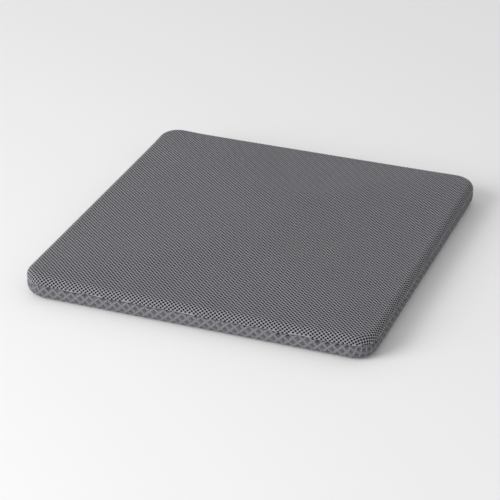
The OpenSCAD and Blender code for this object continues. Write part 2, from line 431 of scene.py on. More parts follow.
@dataclass(frozen=True)
class Panel:
    """A sheet of fabric whose lattice cells carry a shape, closed by a plain inner face.

    Attributes:
        wrap: The sheet's wrap.
        lattice: The lattice of its cells.
        cell: The shape of each cell.
        crown: Depth of the lattice lines at their crossings and half-way between them.
        outer: Depth of the sheet's outer face.
        thickness: The sheet's thickness.
        margin: Cells nearer to the hem than this stay plain.
    """

    wrap: Wrap
    lattice: Lattice
    cell: CellShape
    crown: tuple[float, float]
    outer: float
    thickness: float
    margin: float

    def shape(self) -> Shape:
        """Gathers the whole panel: cells, plain cells at the hem, and the inner face."""
        cells = self.lattice.cells(self.wrap)
        distance, hem = self.wrap.reach(self.lattice.spots(cells.astype(float)))
        plain = distance > hem - self.margin
        rim_keys = (2 * (cells[:, None, :] + CELL_RIM[None])).round().astype(int)
        keys, rim = np.unique(rim_keys.reshape(-1, 2), axis=0, return_inverse=True)
        rim = rim.reshape(len(cells), 8)
        crossing = (keys % 2 != 0).all(axis=1)
        steps = [keys / 2]
        depths = [np.where(crossing, self.crown[0], self.crown[1])]
        faces: list[tuple[np.ndarray, int]] = []
        count = len(keys)
        carved, ring = cells[~plain], rim[~plain]
        for number, (offsets, depth) in enumerate(zip(self.cell.rings, self.cell.depths, strict=True)):
            steps.append((carved[:, None, :] + offsets[None]).reshape(-1, 2))
            depths.append(np.full(len(carved) * 8, depth))
            inner = count + np.arange(len(carved) * 8).reshape(-1, 8)
            count += len(carved) * 8
            # From the cell's inside ring on, the walls take the second material, a darker colour painted as
            # the shade in the pit.
            material = int(number >= self.cell.inside)
            quads = [np.stack([ring[:, k], ring[:, (k + 1) % 8], inner[:, (k + 1) % 8], inner[:, k]], axis=1)
                     for k in range(8)]
            faces.append((np.concatenate(quads), material))
            ring = inner
        # The pit's floor also takes the painted shade of the second material.
        faces.append((ring, 1))
        faces.append((rim[plain], 0))
        uv = self.lattice.spots(np.concatenate(steps))
        depth = np.concatenate(depths) + self.outer
        uv, cut = self.wrap.clamp(uv)
        faces = [(f[~cut[f].all(axis=1)], m) for f, m in faces]
        if self.wrap.side is Side.TOP:
            faces = [(f[:, ::-1], m) for f, m in faces]
        return self.closed(uv, depth, faces)

    def closed(self, uv: np.ndarray, depth: np.ndarray, faces: list[tuple[np.ndarray, int]]) -> Shape:
        """Adds the inner face, ring by ring from the sheet's edge back to the flat face.

        Args:
            uv: The outer face's points on the flat sheet.
            depth: Their depths.
            faces: The outer face.

        Returns:
            The closed panel.
        """
        loop = open_loop(faces)
        distance, way, face = self.wrap.outward(uv[loop])
        arc, drop = self.wrap.lengths(way, face)
        inside = self.outer + self.thickness
        stops = [distance, arc + drop - self.thickness + self.wrap.hem, arc, arc / 2, 0 * arc]
        ring = loop
        for stop in stops:
            uv = np.concatenate([uv, face + way * stop[:, None]])
            depth = np.concatenate([depth, np.full(len(loop), inside)])
            inner = len(uv) - len(loop) + np.arange(len(loop))
            quads = np.stack([np.roll(ring, -1), ring, inner, np.roll(inner, -1)], axis=1)
            faces.append((quads, 1))
            ring = inner
        for share in INNER_SHARES:
            uv = np.concatenate([uv, face * share])
            depth = np.concatenate([depth, np.full(len(loop), inside)])
            inner = len(uv) - len(loop) + np.arange(len(loop))
            faces.append((np.stack([np.roll(ring, -1), ring, inner, np.roll(inner, -1)], axis=1), 1))
            ring = inner
        faces.append((ring[::-1][None, :], 1))
        return Shape(self.wrap.place(uv, depth), uv, faces)


@dataclass(frozen=True)
class Ribs:
    """Raised lines along both diagonals of a lattice, each a closed half-round strip.

    Attributes:
        wrap: The wrap of the sheet that carries them.
        lattice: The lattice.
        width: Width of a line at its foot.
        height: Height of a line.
        steps: Points of a line within each cell.
    """

    wrap: Wrap
    lattice: Lattice
    width: float
    height: float
    steps: int

    def section(self) -> np.ndarray:
        """Points across a line: the offset to its side and the depth under its crest."""
        turn = np.radians([0, 28, 62, 118, 152, 180])
        across = self.width / 2 * np.cos(turn)
        depth = self.height * (1 - np.sin(turn) ** 0.8)
        return np.stack([across, depth], axis=1)

    def runs(self, axis: int) -> list[np.ndarray]:
        """Stretches of the lines along one diagonal that lie on the sheet.

        Args:
            axis: Which diagonal, 0 or 1.

        Returns:
            For each stretch, its points in steps along the diagonals.
        """
        cells = self.lattice.cells(self.wrap)
        found = []
        for line in range(int(cells[:, 1 - axis].min()), int(cells[:, 1 - axis].max()) + 2):
            ends = int(cells[:, axis].min()) - 1, int(cells[:, axis].max()) + 2
            travel = np.arange(ends[0] * self.steps, ends[1] * self.steps + 1) / self.steps
            points = np.empty((len(travel), 2))
            points[:, axis] = travel
            points[:, 1 - axis] = line - 0.5
            on = ~self.wrap.clamp(self.lattice.spots(points))[1]
            starts = np.flatnonzero(on & ~np.roll(on, 1))
            stops = np.flatnonzero(on & ~np.roll(on, -1))
            found += [points[a - 1:b + 2] for a, b in zip(starts, stops, strict=True) if b > a]
        return found

    def shape(self) -> Shape:
        """Gathers every line of the lattice."""
        section = self.section()
        width = len(section)
        uvs, depths, quads, ends = [], [], [], []
        count = 0
        for axis in (0, 1):
            way = self.lattice.basis()[axis]
            across = np.array([way[1], -way[0]]) / np.linalg.norm(way)
            for run in self.runs(axis):
                spots = self.lattice.spots(run)
                uvs.append((spots[:, None, :] + across * section[None, :, :1]).reshape(-1, 2))
                depths.append(np.tile(section[:, 1], len(run)))
                grid = count + np.arange(len(run) * width).reshape(len(run), width)
                after = np.roll(grid, -1, axis=1)
                quads.append(np.stack([grid[:-1], after[:-1], after[1:], grid[1:]], axis=-1).reshape(-1, 4))
                ends += [grid[0][::-1], grid[-1]]
                count += len(run) * width
        uv = self.wrap.clamp(np.concatenate(uvs))[0]
        faces = [(np.concatenate(quads), 0), (np.array(ends), 0)]
        return Shape(self.wrap.place(uv, np.concatenate(depths)), uv, faces)


# ---------------------------------------------------------------- the form under the cover


@dataclass
class PadForm:
    """The stuffed form, whose cloth simulation gives the cover its swell.

    Attributes:
        wraps: The top's and the underside's wraps, which share one swell.
        voxel: Size of the simulated mesh's faces.
        pressure: Pressure inside the form.
        frames: Steps of the simulation.
        crown: Height of the top's crown, to which the result is scaled.
        bulge: Share of the sideways swelling that the sewn edge allows.
        lift: How far the rear left corner stands up.
        lift_reach: Size of that corner's lift.
        ease: Stretch over which the swell begins, at the seam and at the underside's edge.
        sewn: Stretch beside the seam that stays as it is sewn.
    """

    wraps: tuple[Wrap, Wrap]
    voxel: float = 5 * MM
    pressure: float = 4.0
    frames: int = 20
    crown: float = 5.5 * MM
    bulge: float = 0.25
    lift: float = 1.4 * MM
    lift_reach: float = 26 * MM
    ease: float = 6 * MM
    sewn: float = 3.5 * MM

    def closed_form(self) -> bpy.types.Object:
        """Makes the plain closed form as rings from the top's centre to the underside's."""
        top, under = self.wraps
        turn = np.radians(np.concatenate([np.linspace(90 * k, 90 * k + 90, 13) for k in range(4)]))
        way = np.stack([np.cos(turn), np.sin(turn)], axis=1)
        quarter = np.repeat([[1, 1], [-1, 1], [-1, -1], [1, -1]], 13, axis=0)
        rings = []
        for wrap in (top, under):
            face = quarter * (wrap.half - wrap.corner) + way * (wrap.corner - wrap.edge)
            arc, drop = wrap.lengths(way, face)
            stops = [arc * k / 4 for k in range(5)] + [arc + drop]
            ring = [wrap.place(face + way * stop[:, None], 0 * drop) for stop in stops]
            rings += ring if wrap is top else ring[::-1]
        points = np.concatenate(rings)
        ring = np.arange(len(turn))
        faces = []
        for k in range(len(rings) - 1):
            a, b = ring + k * len(turn), ring + (k + 1) * len(turn)
            faces.append((np.stack([a, b, np.roll(b, -1), np.roll(a, -1)], axis=1), 0))
        faces.append((ring[None, :], 0))
        faces.append(((ring + (len(rings) - 1) * len(turn))[None, ::-1], 0))
        return Shape(points, points[:, :2], faces).build("form", [])

    def simulate(self) -> tuple[bpy.types.Object, np.ndarray, np.ndarray]:
        """Runs the cloth simulation.

        Returns:
            The form's mesh at rest, its points at rest, and how far each point moved.
        """
        form = self.closed_form()
        remesh = form.modifiers.new("remesh", "REMESH")
        remesh.mode = "VOXEL"
        remesh.voxel_size = self.voxel
        bake_modifiers(form)
        rest = points_of(form.data)
        seam = self.wraps[0].seam
        near_seam = np.abs(rest[:, 2] - seam.height) < 0.8 * self.voxel
        at_zip = (rest[:, 1] > seam.rear - 2 * MM) & (np.abs(rest[:, 0]) < seam.zip_half)
        near_zip = at_zip & (np.abs(rest[:, 2] - seam.height) < seam.window + 2 * MM)
        held = form.vertex_groups.new(name="held")
        for index in np.flatnonzero(near_seam | near_zip | (rest[:, 2] < 0.5 * MM)):
            held.add([int(index)], 1.0, "REPLACE")
        cloth = form.modifiers.new("cloth", "CLOTH")
        settings = cloth.settings
        settings.quality = 6
        settings.mass = 0.25
        settings.tension_stiffness = 12
        settings.compression_stiffness = 12
        settings.shear_stiffness = 4
        settings.bending_stiffness = 1.5
        settings.shrink_min = -0.012
        settings.use_pressure = True
        settings.uniform_pressure_force = self.pressure
        settings.vertex_group_mass = "held"
        settings.effector_weights.gravity = 0
        cloth.point_cache.frame_end = self.frames
        for step in range(1, self.frames + 1):
            bpy.context.scene.frame_set(step)
        shown = form.evaluated_get(bpy.context.evaluated_depsgraph_get())
        moved = points_of(shown.data) - rest
        form.modifiers.remove(cloth)
        bpy.context.scene.frame_set(1)
        return form, rest, moved

    def fill(self, swell: Swell) -> None:
        """Works out the swell from the simulation, on the grid of both sheets."""
        form, rest, moved = self.simulate()
        faces = [tuple(p.vertices) for p in form.data.polygons]
        tree = BVHTree.FromPolygons([Vector(p) for p in rest], faces)
        nodes = swell.nodes()
        most = np.percentile(moved[:, 2], 99)
        log.info("form: %d points, moved up to %.1f mm", len(rest), 1000 * most)
        size = 2 * swell.count + 1
        for wrap in self.wraps:
            uv = wrap.clamp(nodes)[0]
            places = wrap.place(uv, np.zeros(len(uv)))
            offsets = np.zeros((len(uv), 3))
            for k, place in enumerate(places):
                spot, _, index, _ = tree.find_nearest(Vector(place))
                corner = list(faces[index])
                weight = 1 / (np.linalg.norm(rest[corner] - np.array(spot), axis=1) + 1e-5)
                offsets[k] = (moved[corner] * weight[:, None]).sum(axis=0) / weight.sum()
            offsets *= self.crown / max(most, 1e-6)
            offsets[:, 2] = np.clip(offsets[:, 2], -0.3 * MM, self.crown)
            offsets[:, :2] *= self.bulge
            distance, hem = wrap.reach(uv)
            free = np.clip((hem - distance - self.sewn) / self.ease, 0, 1)[:, None]
            offsets *= free * free * (3 - 2 * free)
            if wrap.side is Side.UNDERSIDE:
                share = np.clip(distance / self.ease, 0, 1)[:, None]
                offsets *= share * share * (3 - 2 * share)
                offsets[:, 2] = np.maximum(offsets[:, 2], 0)
            else:
                corner = np.array([-wrap.half[0], wrap.half[1]])
                away = np.linalg.norm(uv - corner * 0.97, axis=1) / self.lift_reach
                offsets[:, 2] += self.lift * np.exp(-away ** 2)
            swell.moves[wrap.side] = smoothed(offsets.reshape(size, size, 3))
        bpy.data.objects.remove(form)


def smoothed(grid: np.ndarray, rounds: int = 2) -> np.ndarray:
    """A grid of offsets, each evened with its neighbours."""
    for _ in range(rounds):
        for axis in (0, 1):
            grid = (np.roll(grid, 1, axis) + 2 * grid + np.roll(grid, -1, axis)) / 4
    return grid


def points_of(mesh: bpy.types.Mesh) -> np.ndarray:
    """A mesh's points as an array."""
    points = np.empty(len(mesh.vertices) * 3)
    mesh.vertices.foreach_get("co", points)
    return points.reshape(-1, 3)


def bake_modifiers(piece: bpy.types.Object) -> None:
    """Gives a piece the mesh that its modifiers make, and removes them."""
    shown = piece.evaluated_get(bpy.context.evaluated_depsgraph_get())
    mesh = bpy.data.meshes.new_from_object(shown)
    piece.modifiers.clear()
    piece.data = mesh


# ---------------------------------------------------------------- finishes


class Graph:
    """Short calls to add nodes to a tree and link them."""

    def __init__(self, tree: bpy.types.NodeTree) -> None:
        """Works on one tree."""
        self.tree = tree

    def node(self, kind: str, inputs: dict | None = None, **settings: object) -> bpy.types.Node:
        """Adds a node.

        Args:
            kind: The node's type.
            inputs: Values or sockets for its inputs, by name or number.
            settings: Values for its properties.

        Returns:
            The node.
        """
        made = self.tree.nodes.new(kind)
        for name, value in settings.items():
            setattr(made, name, value)
        for key, value in (inputs or {}).items():
            if isinstance(value, bpy.types.NodeSocket):
                self.tree.links.new(value, made.inputs[key])
            else:
                made.inputs[key].default_value = value
        return made

    def maths(self, operation: str, *values: object) -> bpy.types.NodeSocket:
        """Adds a sum of numbers or sockets and returns its result."""
        return self.node("ShaderNodeMath", dict(enumerate(values)), operation=operation).outputs[0]

    def noise(self, vector: object, scale: float, detail: float = 3.0) -> bpy.types.NodeSocket:
        """Adds a noise texture and returns its value."""
        inputs = {"Vector": vector, "Scale": scale, "Detail": detail}
        return self.node("ShaderNodeTexNoise", inputs).outputs["Fac"]

    def mix(self, factor: object, first: object, second: object) -> bpy.types.NodeSocket:
        """Adds a mix of two colours and returns its result."""
        made = self.node("ShaderNodeMix", data_type="RGBA")
        for key, value in ((0, factor), (6, first), (7, second)):
            if isinstance(value, bpy.types.NodeSocket):
                self.tree.links.new(value, made.inputs[key])
            else:
                made.inputs[key].default_value = value
        return made.outputs[2]


class Effect:
    """A shader node group that several finishes share, built the first time that it is used."""

    name = ""
    sockets: tuple[tuple[str, str, str], ...] = ()

    def wire(self, graph: Graph, source: bpy.types.Node, result: bpy.types.Node) -> None:
        """Fills the group between its inputs and outputs."""
        raise NotImplementedError

    def tree(self) -> bpy.types.NodeTree:
        """The group's tree."""
        if self.name in bpy.data.node_groups:
            return bpy.data.node_groups[self.name]
        tree = bpy.data.node_groups.new(self.name, "ShaderNodeTree")
        for name, way, kind in self.sockets:
            tree.interface.new_socket(name=name, in_out=way, socket_type=kind)
        graph = Graph(tree)
        self.wire(graph, graph.node("NodeGroupInput"), graph.node("NodeGroupOutput"))
        return tree

    def place(self, graph: Graph, **inputs: object) -> bpy.types.Node:
        """Adds the group to a material.

        Args:
            graph: The material's graph.
            inputs: Values or sockets for the group's inputs.

        Returns:
            The group's node.
        """
        return graph.node("ShaderNodeGroup", inputs, node_tree=self.tree())


VECTOR_IN = ("Vector", "INPUT", "NodeSocketVector")
SCALE_IN = ("Scale", "INPUT", "NodeSocketFloat")
HEIGHT_OUT = ("Height", "OUTPUT", "NodeSocketFloat")


class KnitLoops(Effect):
    """Rows of knitted loops, as a height."""

    name = "knit_loops"
    sockets = (VECTOR_IN, SCALE_IN, HEIGHT_OUT)

    def wire(self, graph: Graph, source: bpy.types.Node, result: bpy.types.Node) -> None:
        """Bends each row into the V of its loops."""
        scaled = graph.node("ShaderNodeVectorMath", {0: source.outputs["Vector"], 3: source.outputs["Scale"]},
                            operation="SCALE").outputs[0]
        split = graph.node("ShaderNodeSeparateXYZ", {0: scaled})
        across = graph.maths("ABSOLUTE", graph.maths("SUBTRACT", graph.maths("FRACT", split.outputs[0]), 0.5))
        row = graph.maths("ADD", split.outputs[1], graph.maths("MULTIPLY", across, 0.9))
        wave = graph.maths("SINE", graph.maths("MULTIPLY", row, 2 * math.pi))
        loop = graph.maths("SINE", graph.maths("MULTIPLY", across, 2 * math.pi))
        height = graph.maths("MULTIPLY_ADD", wave, 0.3, graph.maths("MULTIPLY_ADD", loop, 0.25, 0.45))
        graph.tree.links.new(height, result.inputs["Height"])


class WovenYarns(Effect):
    """Yarns that pass over and under each other, as a height."""

    name = "woven_yarns"
    sockets = (VECTOR_IN, SCALE_IN, HEIGHT_OUT)

    def wire(self, graph: Graph, source: bpy.types.Node, result: bpy.types.Node) -> None:
        """Crosses two rows of round yarns."""
        scaled = graph.node("ShaderNodeVectorMath", {0: source.outputs["Vector"], 3: source.outputs["Scale"]},
                            operation="SCALE").outputs[0]
        split = graph.node("ShaderNodeSeparateXYZ", {0: scaled})
        waves = [graph.maths("SINE", graph.maths("MULTIPLY", split.outputs[k], 2 * math.pi)) for k in (0, 1)]
        crossed = graph.maths("MULTIPLY", waves[0], waves[1])
        graph.tree.links.new(graph.maths("MULTIPLY_ADD", crossed, 0.5, 0.5), result.inputs["Height"])


class FibreShade(Effect):
    """Uneven lightness of spun or moulded stock: broad patches and fine specks."""

    name = "fibre_shade"
    sockets = (VECTOR_IN, ("Base", "INPUT", "NodeSocketColor"), ("Patches", "INPUT", "NodeSocketFloat"),
               ("Specks", "INPUT", "NodeSocketFloat"), ("Colour", "OUTPUT", "NodeSocketColor"))

    def wire(self, graph: Graph, source: bpy.types.Node, result: bpy.types.Node) -> None:
        """Lightens and darkens the base colour."""
        vector = source.outputs["Vector"]
        patch = graph.maths("SUBTRACT", graph.noise(vector, 28.0, 2.0), 0.5)
        speck = graph.maths("SUBTRACT", graph.noise(vector, 2600.0, 2.0), 0.5)
        light = graph.maths("MULTIPLY_ADD", patch, source.outputs["Patches"],
                            graph.maths("MULTIPLY_ADD", speck, source.outputs["Specks"], 1.0))
        colour = graph.node("ShaderNodeVectorMath", {0: source.outputs["Base"], 3: light}, operation="SCALE")
        graph.tree.links.new(colour.outputs[0], result.inputs["Colour"])


class RubbedEdges(Effect):
    """Where hands and laundry rub a hard piece: its outer edges, broken up."""

    name = "rubbed_edges"
    sockets = (VECTOR_IN, ("Reach", "INPUT", "NodeSocketFloat"), ("Mask", "OUTPUT", "NodeSocketFloat"))

    def wire(self, graph: Graph, source: bpy.types.Node, result: bpy.types.Node) -> None:
        """Takes the convex edges and breaks them up with noise."""
        sharp = graph.node("ShaderNodeNewGeometry").outputs["Pointiness"]
        edge = graph.maths("MULTIPLY", graph.maths("SUBTRACT", sharp, 0.54), source.outputs["Reach"])
        broken = graph.maths("MULTIPLY", edge, graph.noise(source.outputs["Vector"], 900.0))
        mask = graph.node("ShaderNodeClamp", {0: broken}).outputs[0]
        graph.tree.links.new(mask, result.inputs["Mask"])


class Texture(Enum):
    """How a fabric's surface is made."""

    KNIT = "knit"
    WOVEN = "woven"
    FELT = "felt"
    TWISTED = "twisted"


@dataclass(frozen=True)
class Fabric:
    """A textile finish.

    Attributes:
        name: The material's name.
        colour: Its colour.
        texture: How its surface is made.
        scale: Yarns, loops or fibres per metre.
        relief: Height of its surface, in metres.
        shade: How much darker the low places are, as painted shade in the pattern's valleys.
        sheen: Soft light that its fibres catch.
        roughness: Its roughness.
        on_sheet: Whether the pattern lies on the flat sheet or in space.
        patches: Strength of its broad uneven patches.
        specks: Strength of its fine specks.
    """

    name: str
    colour: tuple[float, float, float]
    texture: Texture
    scale: float
    relief: float
    shade: float = 0.35
    sheen: float = 0.15
    roughness: float = 0.85
    on_sheet: bool = True
    patches: float = 0.12
    specks: float = 0.25

    def height(self, graph: Graph, vector: bpy.types.NodeSocket) -> bpy.types.NodeSocket:
        """The height of the surface's pattern."""
        if self.texture is Texture.KNIT:
            return KnitLoops().place(graph, Vector=vector, Scale=self.scale).outputs["Height"]
        if self.texture is Texture.WOVEN:
            return WovenYarns().place(graph, Vector=vector, Scale=self.scale).outputs["Height"]
        if self.texture is Texture.FELT:
            return graph.noise(vector, self.scale, 5.0)
        split = graph.node("ShaderNodeSeparateXYZ", {0: vector})
        along = graph.maths("ADD", split.outputs[0], graph.maths("MULTIPLY", split.outputs[2], 1.4))
        wave = graph.maths("SINE", graph.maths("MULTIPLY", along, 2 * math.pi * self.scale))
        return graph.maths("MULTIPLY_ADD", wave, 0.5, 0.5)

    def material(self) -> bpy.types.Material:
        """Builds the material."""
        material, graph, shader = new_material(self.name)
        vector = (graph.node("ShaderNodeUVMap", uv_map=SHEET_UV).outputs[0] if self.on_sheet
                  else graph.node("ShaderNodeTexCoord").outputs["Object"])
        height = self.height(graph, vector)
        base = FibreShade().place(graph, Vector=vector, Base=(*self.colour, 1), Patches=self.patches,
                                  Specks=self.specks).outputs["Colour"]
        # The pattern's low places get a darker colour: painted shade in its valleys.
        low = tuple(c * (1 - self.shade) for c in self.colour)
        colour = graph.mix(height, (*low, 1), base)
        bump = graph.node("ShaderNodeBump", {"Height": height, "Distance": self.relief})
        graph.tree.links.new(colour, shader.inputs["Base Color"])
        graph.tree.links.new(bump.outputs[0], shader.inputs["Normal"])
        shader.inputs["Roughness"].default_value = self.roughness
        shader.inputs["Sheen Weight"].default_value = self.sheen
        shader.inputs["Sheen Roughness"].default_value = 0.5
        shader.inputs["Specular IOR Level"].default_value = 0.25
        return material


@dataclass(frozen=True)
class Moulded:
    """A moulded or cast finish: elastomer, nylon or painted zinc.

    Attributes:
        name: The material's name.
        colour: Its colour.
        roughness: Its roughness.
        grain: Height of its grain, in metres.
        grain_scale: Grains per metre.
        worn: Colour under its rubbed edges, if it shows.
        worn_metallic: Metallic value there.
        coat: Weight of its clear coat.
        specular: Its specular level.
    """

    name: str
    colour: tuple[float, float, float]
    roughness: float
    grain: float
    grain_scale: float
    worn: tuple[float, float, float] | None = None
    worn_metallic: float = 0.0
    coat: float = 0.0
    specular: float = 0.5

    def material(self) -> bpy.types.Material:
        """Builds the material."""
        material, graph, shader = new_material(self.name)
        vector = graph.node("ShaderNodeTexCoord").outputs["Object"]
        base = FibreShade().place(graph, Vector=vector, Base=(*self.colour, 1), Patches=0.1,
                                  Specks=0.12).outputs["Colour"]
        grain = graph.noise(vector, self.grain_scale, 4.0)
        bump = graph.node("ShaderNodeBump", {"Height": grain, "Distance": self.grain})
        rough = graph.maths("MULTIPLY_ADD", grain, 0.2, self.roughness - 0.1)
        colour = base
        if self.worn:
            mask = RubbedEdges().place(graph, Vector=vector, Reach=7.0).outputs["Mask"]
            colour = graph.mix(mask, base, (*self.worn, 1))
            metallic = graph.maths("MULTIPLY", mask, self.worn_metallic)
            graph.tree.links.new(metallic, shader.inputs["Metallic"])
        graph.tree.links.new(colour, shader.inputs["Base Color"])
        graph.tree.links.new(rough, shader.inputs["Roughness"])
        graph.tree.links.new(bump.outputs[0], shader.inputs["Normal"])
        shader.inputs["Coat Weight"].default_value = self.coat
        shader.inputs["Specular IOR Level"].default_value = self.specular
        return material


def new_material(name: str) -> tuple[bpy.types.Material, Graph, bpy.types.Node]:
    """Makes a material with one Principled shader.

    Args:
        name: The material's name.

    Returns:
        The material, its graph and its shader.
    """
    material = bpy.data.materials.new(name)
    material.use_nodes = True
    tree = material.node_tree
    tree.nodes.clear()
    graph = Graph(tree)
    shader = graph.node("ShaderNodeBsdfPrincipled")
    graph.node("ShaderNodeOutputMaterial", {"Surface": shader.outputs[0]})
    return material, graph, shader


MESH_KNIT = Fabric("spacer_mesh_knit", (0.335, 0.33, 0.358), Texture.KNIT, 1900, 0.06 * MM)
# Near-black painted shade for the walls and floors of the mesh's holes; it also lines the hidden inner face.
MESH_PAINTED_PIT_SHADE = Fabric("spacer_mesh_painted_pit_shade", (0.018, 0.0175, 0.02), Texture.FELT, 1500, 0.05 * MM, sheen=0.0)
GROUND_KNIT = Fabric("grip_ground_knit", (0.155, 0.152, 0.166), Texture.KNIT, 1500, 0.05 * MM)
# A darker colour painted as the shade inside each sunken dash of the ground fabric; it also lines the hidden
# inner face.
GROUND_DASH_PAINTED_SHADE = Fabric("grip_ground_dash_painted_shade", (0.09, 0.088, 0.097), Texture.FELT, 1500, 0.04 * MM, sheen=0.0)
LATTICE_GRIP = Moulded("grip_elastomer", (0.18, 0.177, 0.192), 0.7, 0.03 * MM, 2500, specular=0.3)
THREAD = Fabric("sewing_thread", (0.10, 0.10, 0.11), Texture.TWISTED, 1600, 0.05 * MM, on_sheet=False)
LINING = Fabric("lining_nonwoven", (0.75, 0.75, 0.73), Texture.FELT, 900, 0.05 * MM, on_sheet=False)
WADDING = Fabric("wadding_fibre", (0.82, 0.82, 0.80), Texture.FELT, 260, 0.8 * MM, on_sheet=False)
FOAM = Fabric("open_cell_foam", (0.66, 0.58, 0.38), Texture.FELT, 1400, 0.25 * MM, on_sheet=False, sheen=0.0)
TAPE = Fabric("zip_tape_weave", (0.085, 0.085, 0.092), Texture.WOVEN, 900, 0.05 * MM, on_sheet=False)
LABEL = Fabric("label_satin", (0.80, 0.80, 0.79), Texture.WOVEN, 2600, 0.02 * MM, sheen=0.4, roughness=0.5)
NYLON = Moulded("zip_nylon", (0.07, 0.07, 0.076), 0.45, 0.01 * MM, 3000)
ZINC = Moulded("zip_painted_zinc", (0.055, 0.055, 0.06), 0.42, 0.01 * MM, 2500, worn=(0.45, 0.44, 0.43),
               worn_metallic=0.9, coat=0.15)


# ---------------------------------------------------------------- sub-assemblies


def finish_piece(piece: bpy.types.Object, body: str, slot: str, *nodes: str) -> bpy.types.Object:
    """Puts a new piece on its body, hides the nodes that it stands for, and reports it.

    Args:
        piece: The piece.
        body: The body that it rides on.
        slot: Name of a material slot; not used.
        nodes: The nodes that it replaces.

    Returns:
        The piece.
    """
    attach(piece, body)
    if nodes:
        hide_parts(*nodes)
    log.info("%s: %d faces", piece.name, len(piece.data.polygons))
    return piece


def material_of(finish: Fabric | Moulded) -> bpy.types.Material:
    """A finish's material, built the first time that it is used."""
    return bpy.data.materials.get(finish.name) or finish.material()


def dress(node: str, finish: Fabric | Moulded) -> None:
    """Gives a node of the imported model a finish."""
    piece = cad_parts[node]
    piece.data.materials.clear()
    piece.data.materials.append(material_of(finish))
    log.info("%s: %s", node, finish.name)


def tube(path: np.ndarray, radius: float, sides: int,
         beside: tuple[float, float, float]) -> tuple[np.ndarray, list]:
    """A closed round strand along a path.

    Args:
        path: The points of its middle line.
        radius: Its radius.
        sides: Faces round it.
        beside: A direction that the path never follows.

    Returns:
        Its points and its faces.
    """
    along = np.gradient(path, axis=0)
    along /= np.linalg.norm(along, axis=1)[:, None]
    first = np.cross(along, beside)
    first /= np.linalg.norm(first, axis=1)[:, None]
    second = np.cross(along, first)
    turn = np.linspace(0, 2 * math.pi, sides, endpoint=False)
    ring = np.cos(turn)[None, :, None] * first[:, None] + np.sin(turn)[None, :, None] * second[:, None]
    scale = np.full(len(path), radius)
    scale[[0, -1]] *= STRAND_TIP
    points = (path[:, None] + ring * scale[:, None, None]).reshape(-1, 3)
    grid = np.arange(len(path) * sides).reshape(len(path), sides)
    after = np.roll(grid, -1, axis=1)
    quads = np.stack([grid[:-1], after[:-1], after[1:], grid[1:]], axis=-1).reshape(-1, 4)
    return points, [quads, grid[0][::-1][None], grid[-1][None]]


def strands(name: str, paths: list[np.ndarray], radius: float, sides: int, beside: tuple[float, float, float],
            finish: bpy.types.Material) -> bpy.types.Object:
    """One piece of several round strands.

    Args:
        name: The piece's name.
        paths: The middle line of each strand.
        radius: Their radius.
        sides: Faces round each.
        beside: A direction that no path follows.
        finish: Their material.

    Returns:
        The piece.
    """
    points, faces = [], []
    count = 0
    for path in paths:
        spots, found = tube(path, radius, sides, beside)
        points.append(spots)
        faces += [f + count for f in found]
        count += len(spots)
    placed = np.concatenate(points)
    sizes = sorted({f.shape[1] for f in faces})
    by_size = [(np.concatenate([f for f in faces if f.shape[1] == size]), 0) for size in sizes]
    return Shape(placed, placed[:, [0, 2]], by_size).build(name, [finish])


